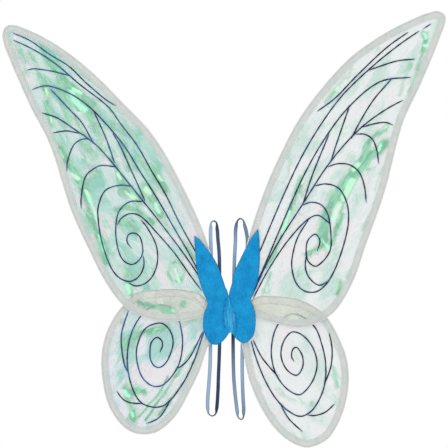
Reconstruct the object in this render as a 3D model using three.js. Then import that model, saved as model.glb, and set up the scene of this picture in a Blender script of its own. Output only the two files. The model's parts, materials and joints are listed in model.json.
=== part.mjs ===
// Fairy wings: two upper and two lower wing panels of sheer mesh and film on wire loops, gathered
// at a hub behind a felt butterfly, with two elastic shoulder loops sewn to the hub's back.
//
// Millimetres, +Z up, X across the span. The wearer's back is at y = 0, on the back patch's flat
// rear face, where the origin lies. The shoulder loops are sewn either side of that face, flush
// with it, and the wings lie in layers in front of them, towards -Y. Each outline is a list of
// [x, z] points of the real shape.
import * as THREE from 'three';

// Wires and cloth
const WIRE_RADIUS = 1.2;
const WIRE_SIDES = 8;
const FOLD_PLY = 0.3;
const HEM_WIDTH = 9;
const MESH_THICKNESS = 0.5;
const FILM_THICKNESS = 0.3;
const GAP = 0.3;
const STATIONS_PER_SPAN = 2;
const ROOT_BARE = 16;

// Layers, each given by its middle or its rear face in Y
const UPPER_LAYER_Y = -12.6;
const LOWER_LAYER_Y = -8.2;
const FELT_REAR_Y = -14.5;
const FELT_THICKNESS = 2.2;
const FELT_FOLD_Y = FELT_REAR_Y - FELT_THICKNESS - GAP;

// Hub
const STAY = { width: 9, bottom: -23, top: 24, rear: -4.3, front: -16.7, round: 2.5 };
const BACK_PATCH = {
  halfWidth: 18, bottom: -24, top: 24, front: -4, shelf: -2.6, padLeft: -11, padRight: 3.2,
};
const WRAP = { inner: 8, outer: 14, thickness: 3.2, round: 1.8 };
const UPPER_WRAP_Z = [3, 20];
const LOWER_WRAP_Z = [-15, -1];
const FELT_EDGE_X = 5.3;
const FELT_FOLD = { halfWidth: 4.2, bottom: -31, top: 29, thickness: 2, bevel: 0.5 };

// Shoulder loops
const ELASTIC_WIDTH = 5.5;
const ELASTIC_THICKNESS = 1.6;
const ELASTIC_REAR_Y = BACK_PATCH.shelf + GAP + ELASTIC_THICKNESS;
const TACK = { width: 5.4, height: 2.4, thickness: 0.3, round: 1 };
const TACK_Z = [-18, 18];

// Wing edges, from the upper root round the tip and back to the lower root. The four loops were
// bent by hand, so the two sides are close to mirror images but don't match.
const WING_EDGES = {
  left_upper: [
    [-10.5, 21], [-16, 47], [-34, 113], [-60, 174], [-99, 248], [-125, 285], [-160, 321],
    [-196, 358], [-239, 395], [-275, 419], [-312, 437], [-335, 443], [-345, 437], [-346, 419],
    [-338, 395], [-317, 346], [-300, 309], [-280, 272], [-266, 236], [-243, 162], [-210, 89],
    [-191, 52], [-164, 15], [-136, -3], [-98, -11], [-60, -9], [-40, -3], [-15, 8],
  ],
  right_upper: [
    [10.5, 21], [15, 50], [31, 121], [58, 199], [80, 248], [106, 297], [142, 346], [188, 395],
    [242, 432], [282, 452], [308, 462], [327, 463], [332, 450], [326, 431], [312, 395],
    [291, 346], [268, 297], [254, 248], [242, 199], [226, 150], [208, 101], [196, 64],
    [179, 28], [161, 3], [139, -12], [109, -21], [86, -18], [63, -12], [44, -6], [15, 8],
  ],
  left_lower: [
    [-15, -5], [-37, 27], [-60, 35], [-83, 38], [-128, 35], [-144, 31], [-155, 21], [-171, 3],
    [-185, -21], [-193, -46], [-196, -77], [-191, -119], [-183, -144], [-167, -168],
    [-150, -181], [-128, -185], [-108, -180], [-81, -156], [-60, -119], [-43, -83], [-34, -55],
    [-12, -17],
  ],
  right_lower: [
    [15, -5], [30, 20], [51, 27], [78, 26], [109, 21], [128, 12], [151, -6], [173, -46],
    [181, -70], [184, -101], [180, -132], [173, -156], [161, -180], [149, -194], [119, -205],
    [89, -193], [64, -168], [43, -132], [29, -95], [22, -60], [16, -33], [12, -17],
  ],
};

// Shoulder loops as they lie: the middle line of the elastic, clockwise from the top of each
const LOOP_LINES = {
  left: [
    [-23, 141.8], [-19.3, 137], [-17, 115], [-14.9, 90], [-14.4, 40], [-14.4, -47], [-16, -93],
    [-18.2, -140], [-20.5, -152], [-25.5, -156.2], [-31.2, -152], [-32.8, -140], [-31.5, -116],
    [-29, -80], [-28, 0], [-27.5, 98], [-27.3, 137],
  ],
  right: [
    [17.5, 145.2], [22, 141], [26.5, 126], [28.4, 112], [26, 60], [21, -40], [20.4, -90],
    [21.8, -132], [22.6, -152], [19.5, -161.5], [14.6, -158], [12, -145], [7.6, -101],
    [6.5, -60], [6.5, -20], [8.4, 80], [10, 112], [11.3, 136],
  ],
};

// Felt butterfly: each half from its top notch round the upper wing to the side notch, and round
// the lower wing back to the bottom notch
const FELT_HALVES = {
  left: {
    inner: [[-FELT_EDGE_X, 41], [-12, 61], [-20, 80], [-32, 98], [-44, 113], [-53, 120]],
    outer: [[-53, 120], [-52, 98], [-49, 67], [-43, 43], [-34, 21], [-32, 15]],
    lobe: [[-32, 15], [-38, 1], [-40, -14], [-38, -28], [-30, -43], [-20, -47], [-11, -43]],
    end: [-FELT_EDGE_X, -37],
  },
  right: {
    inner: [[FELT_EDGE_X, 50], [9, 66], [20, 90], [32, 113], [38, 122], [44.5, 130]],
    outer: [[44.5, 130], [46.5, 116], [47, 80], [44, 52], [35, 27], [33, 21]],
    lobe: [[33, 21], [38, 9], [41, -9], [38, -31], [29, -42], [20, -44], [11, -38]],
    end: [FELT_EDGE_X, -31],
  },
};

const material = (color, roughness, metalness = 0) =>
  new THREE.MeshStandardMaterial({ color, roughness, metalness });

const MATERIALS = {
  wire: material(0xe6e2e4, 0.45, 0.2),
  hem: material(0xd2d4d0, 0.8),
  mesh: material(0xdfe6e2, 0.7),
  film: material(0xa6dcc0, 0.15),
  felt: material(0x2493c5, 0.95),
  tape: material(0xeceae6, 0.7),
  elastic: material(0x9fb0d8, 0.75),
  thread: material(0x2a4a8c, 0.8),
};

/** A curve whose stations follow its control points, so its tight bends get more of them. */
class EdgeCurve extends THREE.CatmullRomCurve3 {
  constructor(points, closed = false) {
    const spatial = points.map(([x, z]) => new THREE.Vector3(x, z, 0));
    super(spatial, closed, 'centripetal');
  }

  getPointAt(u, target) {
    return this.getPoint(u, target);
  }

  getTangentAt(u, target) {
    return this.getTangent(u, target);
  }
}

/** The curve's stations as [x, z] pairs. */
function stationsOf(curve, count) {
  const stations = curve.getPoints(count).map((point) => [point.x, point.y]);
  if (curve.closed) {
    stations.pop();
  }
  return stations;
}

/** How far a point is from an open or closed line of stations. */
function distanceToLine([px, pz], line, closed) {
  let nearest = Infinity;
  const segments = closed ? line.length : line.length - 1;
  for (let i = 0; i < segments; i += 1) {
    const [ax, az] = line[i];
    const [bx, bz] = line[(i + 1) % line.length];
    const [dx, dz] = [bx - ax, bz - az];
    const along = ((px - ax) * dx + (pz - az) * dz) / (dx * dx + dz * dz);
    const t = Math.min(1, Math.max(0, along));
    nearest = Math.min(nearest, Math.hypot(px - ax - t * dx, pz - az - t * dz));
  }
  return nearest;
}

/** A line moved inwards by a distance, without the loops that tight bends would leave. */
function inset(line, distance, closed = false) {
  const clockwise = THREE.ShapeUtils.area(line.map(([x, z]) => ({ x, y: z }))) < 0;
  const side = clockwise ? -1 : 1;
  const last = line.length - 1;
  const moved = line.map(([x, z], i) => {
    const before = line[closed ? (i + last) % line.length : Math.max(0, i - 1)];
    const after = line[closed ? (i + 1) % line.length : Math.min(last, i + 1)];
    const [dx, dz] = [after[0] - before[0], after[1] - before[1]];
    const scale = (side * distance) / Math.hypot(dx, dz);
    return [x - dz * scale, z + dx * scale];
  });
  const tooNear = Math.abs(distance) * 0.97;
  return moved.filter((point) => distanceToLine(point, line, closed) >= tooNear);
}

/** The line's points as vectors, always counter-clockwise. */
function loopOf(line) {
  const loop = line.map(([x, z]) => new THREE.Vector2(x, z));
  return THREE.ShapeUtils.isClockWise(loop) ? loop.reverse() : loop;
}

function shapeOf(outline, hole) {
  const shape = new THREE.Shape(loopOf(outline));
  if (hole) {
    shape.holes.push(new THREE.Path(loopOf(hole)));
  }
  return shape;
}

/** Stands geometry drawn in the (x, z) plane upright, with its rear face at rearY. */
function upright(name, geometry, rearY, finish) {
  const mesh = new THREE.Mesh(geometry, finish);
  mesh.name = name;
  mesh.rotation.x = Math.PI / 2;
  mesh.position.y = rearY;
  return mesh;
}

function plate(name, shape, thickness, rearY, finish) {
  const settings = { depth: thickness, bevelEnabled: false, curveSegments: 4 };
  return upright(name, new THREE.ExtrudeGeometry(shape, settings), rearY, finish);
}

function roundedRectangle(left, right, bottom, top, radius) {
  const shape = new THREE.Shape();
  shape.moveTo(left + radius, bottom);
  shape.absarc(right - radius, bottom + radius, radius, -Math.PI / 2, 0);
  shape.absarc(right - radius, top - radius, radius, 0, Math.PI / 2);
  shape.absarc(left + radius, top - radius, radius, Math.PI / 2, Math.PI);
  shape.absarc(left + radius, bottom + radius, radius, Math.PI, Math.PI * 1.5);
  return shape;
}

/** A wire along the line, round in section, with its two tails left open at the root. */
function wireLoop(name, line, layerY) {
  const section = new THREE.Shape().absarc(0, 0, WIRE_RADIUS, 0, Math.PI * 2);
  const settings = {
    steps: line.length - 1,
    curveSegments: WIRE_SIDES / 2,
    extrudePath: new EdgeCurve(line),
  };
  return upright(name, new THREE.ExtrudeGeometry(section, settings), layerY, MATERIALS.wire);
}

/** The tape-bound bundle that holds one wing's two wire tails beside the centre stay. */
function rootWrap(name, side, [bottom, top], layerY) {
  const near = side * WRAP.inner;
  const far = side * WRAP.outer;
  const shape = roundedRectangle(
    Math.min(near, far), Math.max(near, far), bottom, top, WRAP.round);
  return plate(name, shape, WRAP.thickness, layerY + WRAP.thickness / 2, MATERIALS.tape);
}

/** One wing: its wire loop, two mesh sheets, the hem strip and film between them, and its root. */
function wing(name, side, layerY, wrapZ) {
  const group = new THREE.Group();
  const points = WING_EDGES[name];
  const edge = stationsOf(new EdgeCurve(points), (points.length - 1) * STATIONS_PER_SPAN);
  const root = [side * (WRAP.inner + WRAP.outer) / 2, (wrapZ[0] + wrapZ[1]) / 2];
  const clearOfRoot = (line, bare) =>
    line.filter(([x, z]) => Math.hypot(x - root[0], z - root[1]) > bare);

  const sheetInset = FOLD_PLY + 2 * WIRE_RADIUS + GAP;
  const filmInset = sheetInset + HEM_WIDTH + GAP;
  const sheet = clearOfRoot(inset(edge, sheetInset), ROOT_BARE);
  const hemInside = clearOfRoot(inset(edge, filmInset - GAP), ROOT_BARE + HEM_WIDTH);
  const film = clearOfRoot(inset(edge, filmInset), ROOT_BARE + HEM_WIDTH + GAP);
  const sheetRear = layerY + MESH_THICKNESS / 2 + GAP + MESH_THICKNESS;
  const sheetPitch = 2 * (MESH_THICKNESS + GAP);

  group.add(
    wireLoop(`${name}_wire_loop`, inset(edge, FOLD_PLY + WIRE_RADIUS), layerY),
    plate(`${name}_front_mesh`, shapeOf(sheet), MESH_THICKNESS, sheetRear - sheetPitch,
      MATERIALS.mesh),
    plate(`${name}_back_mesh`, shapeOf(sheet), MESH_THICKNESS, sheetRear, MATERIALS.mesh),
    plate(`${name}_hem_strip`, shapeOf(sheet, hemInside), MESH_THICKNESS,
      layerY + MESH_THICKNESS / 2, MATERIALS.hem),
    plate(`${name}_film`, shapeOf(film), FILM_THICKNESS, layerY + FILM_THICKNESS / 2,
      MATERIALS.film),
    rootWrap(`${name}_root_wrap`, side, wrapZ, layerY),
  );
  return group;
}

/** One half of the felt butterfly, smooth between its notches and its tip. */
function feltHalf(name, { inner, outer, lobe, end }) {
  const shape = new THREE.Shape();
  shape.moveTo(...inner[0]);
  for (const stretch of [inner, outer, lobe]) {
    shape.splineThru(stretch.slice(1).map(([x, z]) => new THREE.Vector2(x, z)));
  }
  shape.lineTo(...end);
  return plate(name, shape, FELT_THICKNESS, FELT_REAR_Y, MATERIALS.felt);
}

/** The raised fold down the butterfly's middle: a spindle of felt. */
function feltFold() {
  const { halfWidth, bottom, top, thickness, bevel } = FELT_FOLD;
  const middle = (bottom + top) / 2;
  const shape = new THREE.Shape();
  shape.moveTo(0, bottom);
  shape.quadraticCurveTo(2 * halfWidth, middle, 0, top);
  shape.quadraticCurveTo(-2 * halfWidth, middle, 0, bottom);
  const settings = {
    depth: thickness,
    bevelThickness: bevel,
    bevelSize: bevel,
    bevelSegments: 1,
    curveSegments: 8,
  };
  const geometry = new THREE.ExtrudeGeometry(shape, settings);
  return upright('felt_body_fold', geometry, FELT_FOLD_Y - bevel, MATERIALS.felt);
}

/** The felt behind the hub: thick between the two sewn strands, and a thin shelf under them. */
function backPatch() {
  const { halfWidth, bottom, top, front, shelf, padLeft, padRight } = BACK_PATCH;
  const profile = shapeOf([
    [-halfWidth, front], [halfWidth, front], [halfWidth, shelf], [padRight, shelf],
    [padRight, 0], [padLeft, 0], [padLeft, shelf], [-halfWidth, shelf],
  ]);
  const settings = { depth: top - bottom, bevelEnabled: false };
  const mesh = new THREE.Mesh(new THREE.ExtrudeGeometry(profile, settings), MATERIALS.felt);
  mesh.name = 'back_patch';
  mesh.position.z = bottom;
  return mesh;
}

function hub() {
  const group = new THREE.Group();
  const halfStay = STAY.width / 2;
  const stayShape = roundedRectangle(-halfStay, halfStay, STAY.bottom, STAY.top, STAY.round);
  group.add(
    plate('centre_stay', stayShape, STAY.rear - STAY.front, STAY.rear, MATERIALS.tape),
    backPatch(),
    feltFold(),
    feltHalf('felt_patch_left', FELT_HALVES.left),
    feltHalf('felt_patch_right', FELT_HALVES.right),
  );
  return group;
}

/** One closed elastic loop, sewn to the back patch by two bar tacks on its inner strand. */
function shoulderLoop(side, tackX) {
  const group = new THREE.Group();
  const line = LOOP_LINES[side];
  const middle = stationsOf(new EdgeCurve(line, true), line.length * STATIONS_PER_SPAN);
  const outside = inset(middle, -ELASTIC_WIDTH / 2, true);
  const inside = inset(middle, ELASTIC_WIDTH / 2, true);
  group.add(plate(`${side}_shoulder_loop`, shapeOf(outside, inside), ELASTIC_THICKNESS,
    ELASTIC_REAR_Y, MATERIALS.elastic));
  TACK_Z.forEach((z, i) => {
    const shape = roundedRectangle(
      tackX - TACK.width / 2, tackX + TACK.width / 2,
      z - TACK.height / 2, z + TACK.height / 2, TACK.round);
    group.add(plate(`${side}_bar_tack_${i + 1}`, shape, TACK.thickness,
      ELASTIC_REAR_Y + GAP + TACK.thickness, MATERIALS.thread));
  });
  return group;
}

const fairyWings = new THREE.Group();
fairyWings.add(
  wing('left_upper', -1, UPPER_LAYER_Y, UPPER_WRAP_Z),
  wing('right_upper', 1, UPPER_LAYER_Y, UPPER_WRAP_Z),
  wing('left_lower', -1, LOWER_LAYER_Y, LOWER_WRAP_Z),
  wing('right_lower', 1, LOWER_LAYER_Y, LOWER_WRAP_Z),
  hub(),
  shoulderLoop('left', -14.4),
  shoulderLoop('right', 6.9),
);

export default fairyWings;
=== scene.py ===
"""Fairy wings: sheer iridescent wings on wire loops, a felt butterfly, and two shoulder loops.

Metres, +Z up. The felt butterfly faces -Y and the wearer's back is at y = 0. Flat shapes are
worked out in the (x, z) plane from the outlines of the CAD nodes, then set at their depth.
"""

import json
import math

import bmesh
import bpy
import numpy as np
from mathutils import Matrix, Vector, noise
from mathutils.geometry import delaunay_2d_cdt

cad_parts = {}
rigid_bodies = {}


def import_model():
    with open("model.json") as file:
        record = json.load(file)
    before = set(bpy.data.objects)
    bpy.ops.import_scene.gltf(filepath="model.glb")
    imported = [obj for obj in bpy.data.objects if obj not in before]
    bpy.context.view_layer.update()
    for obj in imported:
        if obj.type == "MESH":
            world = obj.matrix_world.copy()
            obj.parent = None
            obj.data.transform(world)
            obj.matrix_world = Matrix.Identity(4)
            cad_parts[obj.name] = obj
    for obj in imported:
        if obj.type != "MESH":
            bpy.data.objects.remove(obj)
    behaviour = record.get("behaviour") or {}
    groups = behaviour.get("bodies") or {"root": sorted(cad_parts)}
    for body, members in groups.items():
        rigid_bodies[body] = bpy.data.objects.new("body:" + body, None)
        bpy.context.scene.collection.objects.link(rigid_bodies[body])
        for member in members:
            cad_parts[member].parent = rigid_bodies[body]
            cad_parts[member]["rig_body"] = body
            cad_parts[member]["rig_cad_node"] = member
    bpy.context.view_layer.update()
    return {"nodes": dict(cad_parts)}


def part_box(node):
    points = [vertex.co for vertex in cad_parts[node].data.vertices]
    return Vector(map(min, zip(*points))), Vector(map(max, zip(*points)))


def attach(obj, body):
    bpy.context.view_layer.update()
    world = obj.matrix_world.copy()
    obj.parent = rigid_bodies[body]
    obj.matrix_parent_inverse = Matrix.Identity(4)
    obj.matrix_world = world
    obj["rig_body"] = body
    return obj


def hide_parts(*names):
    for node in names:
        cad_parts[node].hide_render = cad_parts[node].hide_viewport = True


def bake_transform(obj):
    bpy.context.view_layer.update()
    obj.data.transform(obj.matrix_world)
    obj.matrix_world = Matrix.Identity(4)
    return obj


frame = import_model()

MM = 0.001
FORWARD = -1.0          # towards the felt butterfly, along Y

# Wings
WINGS = ("left_upper", "right_upper", "left_lower", "right_lower")
WING_BODY = {
    "left_upper": "left_wing", "right_upper": "right_wing",
    "left_lower": "left_lower_wing", "right_lower": "right_lower_wing",
}
WING_AXIS = {           # the way the film was pulled, root to tip, as (x, z)
    "left_upper": (-0.6, 0.8), "right_upper": (0.55, 0.84),
    "left_lower": (-0.55, -0.83), "right_lower": (0.5, -0.87),
}
EDGE_STEP = 4 * MM
CORNER_DEGREES = 58     # a sharper turn than this stays a corner
FILM_STEP = 2.2 * MM
MESH_STEP = 4.5 * MM
SHEET_INSET = 3 * MM    # from the cloth's folded edge to the CAD sheets' edge
WIRE_INSET = 1.5 * MM
WIRE_RADIUS = 1.05 * MM
WIRE_SIDES = 12
WIRE_EVERY = 3          # the wire is drawn through every third station of the wing's edge
HEM_WIDTH = 11.5 * MM
SHEER_TUCK = 0.4 * MM
FILM_INSET = 7.5 * MM
PRINT_INSET = 9 * MM
SHEET_GAP = 0.75 * MM
HEM_SIDES = (           # how far in from the fold, and how far out from the wire's layer
    (HEM_WIDTH, 1.0 * MM), (8 * MM, 1.05 * MM), (4.6 * MM, 1.15 * MM), (3 * MM, 1.4 * MM))
HEM_FOLD_DEPTH = 1.5 * MM
HEM_RIPPLE = 0.22 * MM
HEM_CREASE = 4 * MM     # how far in from the fold the hem still looks folded
FOLD_HEIGHT = 0.88 * MM
FOLD_FADE = 22 * MM
BROAD_FOLDS = (0.034, 0.15)     # the folds' width and length, in metres
NARROW_FOLDS = (0.012, 0.07)

# Glitter veins printed on each wing, as (x, z) in millimetres. The four were printed by the same
# pattern but stretched on their wires separately.
VEINS = {
    "left_upper": (
        ((-331, 430), (-304, 418), (-274, 397), (-245, 379), (-219, 354), (-187, 327), (-172, 318)),
        ((-330, 419), (-302, 406), (-267, 384), (-228, 351), (-184, 316), (-165, 290), (-140, 257),
         (-119, 220), (-97, 183), (-77, 142), (-46, 86)),
        ((-309, 373), (-299, 375), (-269, 371), (-242, 364)),
        ((-301, 343), (-291, 347), (-278, 349), (-245, 338), (-215, 318), (-182, 284), (-158, 254),
         (-136, 218), (-110, 177), (-86, 135), (-62, 94), (-42, 56)),
        ((-273, 344), (-241, 310), (-226, 294), (-208, 263)),
        ((-206, 308), (-189, 271), (-175, 231)),
        ((-178, 277), (-169, 262), (-145, 210), (-128, 172)),
        ((-287, 308), (-263, 300), (-237, 283), (-207, 262), (-184, 238), (-154, 201), (-103, 137),
         (-64, 85), (-42, 52)),
        ((-270, 277), (-248, 280), (-228, 276)),
        ((-210, 265), (-217, 268), (-228, 266), (-237, 259), (-247, 233), (-248, 218)),
        ((-172, 225), (-197, 227), (-210, 220), (-219, 211), (-226, 179), (-226, 161)),
        ((-147, 195), (-167, 197), (-189, 189), (-200, 164), (-200, 144), (-193, 105), (-178, 67),
         (-167, 55), (-154, 50), (-143, 53), (-134, 63), (-130, 76), (-131, 89)),
        ((-130, 172), (-151, 172), (-162, 165), (-170, 153), (-173, 120), (-165, 87), (-156, 78),
         (-147, 76), (-138, 82), (-132, 94), (-137, 119), (-146, 124), (-154, 121), (-156, 111),
         (-149, 100)),
        ((-135, 144), (-127, 135), (-112, 107), (-109, 89), (-111, 72), (-119, 55), (-130, 46),
         (-143, 43), (-154, 48)),
        ((-171, 136), (-165, 146), (-154, 153), (-143, 153), (-132, 147), (-110, 124), (-84, 94),
         (-57, 56), (-42, 36)),
    ),
    "right_upper": (
        ((291, 433), (262, 413), (222, 381), (174, 335), (144, 295), (112, 242), (80, 174),
         (46, 93)),
        ((274, 431), (243, 409), (197, 366), (161, 329), (135, 310)),
        ((309, 444), (297, 436)),
        ((214, 373), (257, 387), (285, 390)),
        ((278, 362), (239, 358), (217, 347), (179, 312), (147, 269), (115, 213), (50, 64),
         (32, 24)),
        ((249, 360), (220, 326), (197, 288), (187, 268)),
        ((184, 317), (167, 268), (156, 234)),
        ((153, 275), (127, 211), (113, 168)),
        ((266, 327), (242, 314), (202, 285), (156, 234), (112, 167), (67, 95), (34, 26)),
        ((205, 286), (222, 291), (240, 293), (251, 289)),
        ((194, 275), (207, 275), (219, 268), (226, 251), (229, 230)),
        ((151, 225), (167, 230), (185, 228), (199, 217), (207, 196), (210, 170)),
        ((132, 196), (148, 199), (167, 193), (179, 174), (183, 150), (179, 119), (161, 66),
         (147, 44), (133, 34), (116, 35), (103, 47), (96, 73), (99, 98), (106, 119),
         (122, 145)),
        ((113, 167), (127, 171), (141, 167), (151, 153), (156, 119), (155, 98), (144, 81),
         (132, 73), (121, 81), (118, 98), (121, 113), (132, 122), (139, 113), (135, 96)),
        ((118, 89), (117, 70), (124, 54), (138, 44), (151, 50)),
        ((155, 138), (136, 151), (121, 145), (90, 112), (60, 67), (37, 24)),
    ),
    "left_lower": (
        ((-154, 5), (-164, -27), (-165, -45), (-160, -78), (-155, -89)),
        ((-75, -14), (-82, 0), (-95, 12), (-110, 13), (-125, 7), (-145, -19), (-155, -54),
         (-154, -91), (-143, -125), (-133, -137), (-121, -142), (-109, -143), (-96, -138),
         (-74, -112), (-54, -73), (-38, -26)),
        ((-40, -27), (-59, -65), (-69, -77), (-80, -84)),
        ((-75, -14), (-71, -43), (-77, -78), (-94, -103), (-104, -110), (-115, -111),
         (-126, -105), (-135, -93), (-142, -60), (-134, -31), (-125, -20), (-106, -14),
         (-98, -17), (-90, -26), (-86, -38), (-86, -49), (-96, -74), (-106, -82), (-114, -80),
         (-120, -70), (-121, -56), (-118, -42), (-110, -36), (-103, -41), (-102, -49),
         (-106, -59)),
        ((-172, -118), (-165, -128), (-155, -135), (-132, -138)),
        ((-91, -135), (-106, -158), (-118, -165), (-127, -168)),
    ),
    "right_lower": (
        ((100, -73), (96, -66), (98, -54), (103, -51), (112, -63), (113, -81), (104, -94),
         (90, -87), (80, -66), (83, -44), (96, -28), (110, -31), (127, -49), (135, -75),
         (130, -99), (116, -119), (107, -124), (89, -115), (72, -92), (65, -63), (67, -38),
         (73, -20), (85, -5), (98, 0), (112, -4), (132, -21), (142, -46), (148, -75),
         (147, -106), (139, -130), (125, -150), (109, -157), (90, -148), (72, -130),
         (54, -99), (40, -63), (34, -41)),
        ((153, -26), (158, -54), (156, -81), (147, -106)),
        ((37, -40), (50, -66), (67, -87), (75, -95)),
        ((162, -138), (147, -151), (129, -156), (121, -155)),
        ((80, -141), (92, -161), (113, -181)),
    ),
}
VEIN_STEP = 2.5 * MM
VEIN_HALF_WIDTH = 1 * MM
VEIN_HEIGHT = 0.4 * MM
VEIN_LIFT = 0.05 * MM   # in front of the sheer
VEIN_SIDES = 6
VEIN_END = 0.35         # how wide a vein's very end is, as a share of its middle
# The two tints that the print on each wing drifts between
VEIN_TINTS = {
    "left_upper": ((34, 92, 122), (8, 38, 54)),
    "right_upper": ((6, 18, 30), (16, 58, 90)),
    "left_lower": ((8, 36, 58), (22, 82, 126)),
    "right_lower": ((6, 20, 34), (20, 56, 88)),
}
VEIN_TAPER = 7 * MM
HALO_REACH = 3 * MM

# Where the film turns green along its folds: the fold's line in mm, its half width, its strength
GREEN_FOLDS = {
    "left_upper": (
        (((-325, 410), (-318, 392), (-310, 372)), 8, 0.55),
        (((-282, 352), (-278, 330), (-275, 300), (-272, 286)), 7, 0.9),
        (((-288, 405), (-272, 385), (-256, 365), (-243, 350), (-225, 335), (-208, 322)), 8, 0.85),
        (((-246, 342), (-236, 328), (-222, 314), (-212, 306)), 12, 1.0),
        (((-262, 372), (-258, 352), (-252, 330), (-250, 305), (-245, 290)), 7, 0.65),
        (((-258, 252), (-243, 228), (-228, 203), (-219, 180), (-211, 150), (-203, 124),
          (-195, 103), (-188, 78)), 8, 1.0),
        (((-196, 330), (-180, 305), (-176, 285)), 8, 0.6),
        (((-205, 290), (-195, 262), (-200, 245)), 10, 0.7),
        (((-226, 262), (-216, 244), (-208, 218)), 13, 0.5),
        (((-165, 300), (-150, 275), (-140, 262)), 5, 0.5),
        (((-168, 270), (-158, 240), (-150, 222)), 7, 0.7),
        (((-178, 236), (-168, 216), (-160, 196), (-148, 180)), 6, 0.85),
        (((-165, 187), (-150, 181), (-138, 178)), 8, 0.9),
        (((-130, 196), (-120, 182), (-112, 165), (-106, 152)), 8, 0.95),
        (((-117, 222), (-107, 206), (-98, 192)), 9, 0.85),
        (((-170, 160), (-158, 163), (-144, 162), (-130, 152), (-118, 141)), 7, 0.95),
        (((-170, 140), (-156, 138), (-140, 136)), 8, 0.7),
        (((-90, 78), (-91, 60), (-82, 50), (-74, 52), (-68, 66), (-76, 80), (-90, 78)), 4.5, 0.8),
        (((-86, 74), (-82, 62), (-76, 60)), 8, 0.6),
        (((-70, 113), (-62, 98), (-55, 84)), 5, 0.8),
        (((-160, 66), (-157, 52), (-153, 38), (-150, 30)), 6, 0.95),
        (((-150, 72), (-132, 72), (-110, 68)), 4, 0.4),
        (((-138, 17), (-118, 12), (-98, 8), (-80, 8), (-72, 16)), 7, 0.75),
        (((-190, 140), (-188, 110), (-180, 90)), 5, 0.4),
        (((-306, 398), (-296, 380), (-292, 362)), 5, 0.6),
        (((-240, 378), (-226, 366), (-214, 358)), 4, 0.6),
        (((-236, 300), (-226, 284), (-220, 274)), 5, 0.7),
        (((-184, 262), (-190, 246), (-198, 232)), 5, 0.5),
        (((-140, 240), (-128, 220), (-122, 208)), 4, 0.5),
        (((-100, 150), (-94, 134), (-88, 124)), 4, 0.45),
        (((-152, 60), (-140, 64), (-126, 60)), 5, 0.5),
    ),
    "right_upper": (
        (((240, 288), (228, 277), (217, 266), (210, 252)), 6, 0.95),
        (((238, 258), (224, 247), (210, 238), (200, 228)), 8, 1.0),
        (((207, 231), (196, 220), (183, 204), (171, 187), (162, 172), (154, 156), (148, 140),
          (144, 124), (146, 110)), 10, 1.0),
        (((190, 206), (183, 188), (175, 170), (168, 148), (163, 128), (158, 108)), 6, 0.85),
        (((148, 112), (140, 103), (130, 97), (122, 92)), 7, 0.8),
        (((93, 245), (91, 228), (89, 208)), 5, 0.45),
        (((111, 210), (106, 192), (100, 172), (93, 154), (87, 136), (80, 118), (72, 100),
          (64, 84), (57, 70)), 5.5, 0.95),
        (((106, 180), (102, 160), (98, 150)), 6, 0.6),
        (((63, 62), (60, 48), (58, 35)), 5, 0.75),
        (((171, 48), (168, 38), (165, 30)), 3.5, 0.8),
        (((296, 431), (300, 420), (299, 409), (294, 400)), 5, 0.9),
        (((295, 398), (289, 380), (284, 360), (279, 342)), 5, 0.6),
        (((277, 381), (270, 366), (265, 352), (261, 338)), 4.5, 0.7),
        (((226, 406), (214, 395), (204, 386)), 5, 0.5),
        (((190, 377), (180, 365), (168, 349), (158, 336), (148, 324)), 4.5, 0.6),
        (((259, 306), (257, 296)), 2.5, 0.7),
        (((105, 55), (112, 48), (125, 42)), 8, 0.3),
        (((236, 222), (227, 196), (217, 163), (209, 131), (199, 98), (184, 56)), 4, 0.45),
    ),
    "left_lower": (
        (((-160, -48), (-148, -38), (-134, -31), (-120, -27), (-108, -24), (-100, -20)), 7, 0.95),
        (((-140, -22), (-128, -17)), 5, 0.5),
        (((-160, -113), (-152, -118), (-140, -116), (-130, -118)), 7, 0.85),
        (((-157, -122), (-152, -138), (-149, -150), (-146, -162)), 7, 0.85),
        (((-104, -114), (-98, -120), (-92, -112)), 7, 0.4),
        (((-50, -66), (-58, -80), (-63, -96), (-70, -112)), 5, 0.55),
        (((-108, -155), (-96, -150)), 3, 0.5),
        (((-180, -78), (-172, -68), (-165, -60)), 6, 0.4),
        (((-166, -14), (-160, -8)), 3, 0.5),
        (((-138, 14), (-118, 12), (-98, 10), (-80, 14)), 7, 0.5),
        (((-72, -18), (-62, -12), (-50, -8)), 3, 0.5),
        (((-52, -48), (-76, -88), (-104, -130), (-128, -164)), 2.4, 1.0),
        (((-62, -90), (-84, -124), (-108, -158)), 2.2, 1.0),
        (((-44, -52), (-64, -92), (-82, -124), (-100, -152)), 2.2, 1.0),
        (((-92, -96), (-116, -132), (-138, -160)), 2.2, 0.9),
    ),
    "right_lower": (
        (((80, -124), (95, -130), (112, -135), (125, -136)), 7, 0.5),
        (((60, -108), (70, -115), (82, -118)), 6, 0.4),
        (((160, -80), (163, -95), (166, -110)), 5, 0.45),
        (((44, -108), (52, -118)), 5, 0.35),
        (((160, -125), (168, -135)), 6, 0.3),
        (((146, -30), (148, -45)), 3, 0.3),
        (((130, -165), (148, -172)), 6, 0.25),
    ),
}
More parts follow.
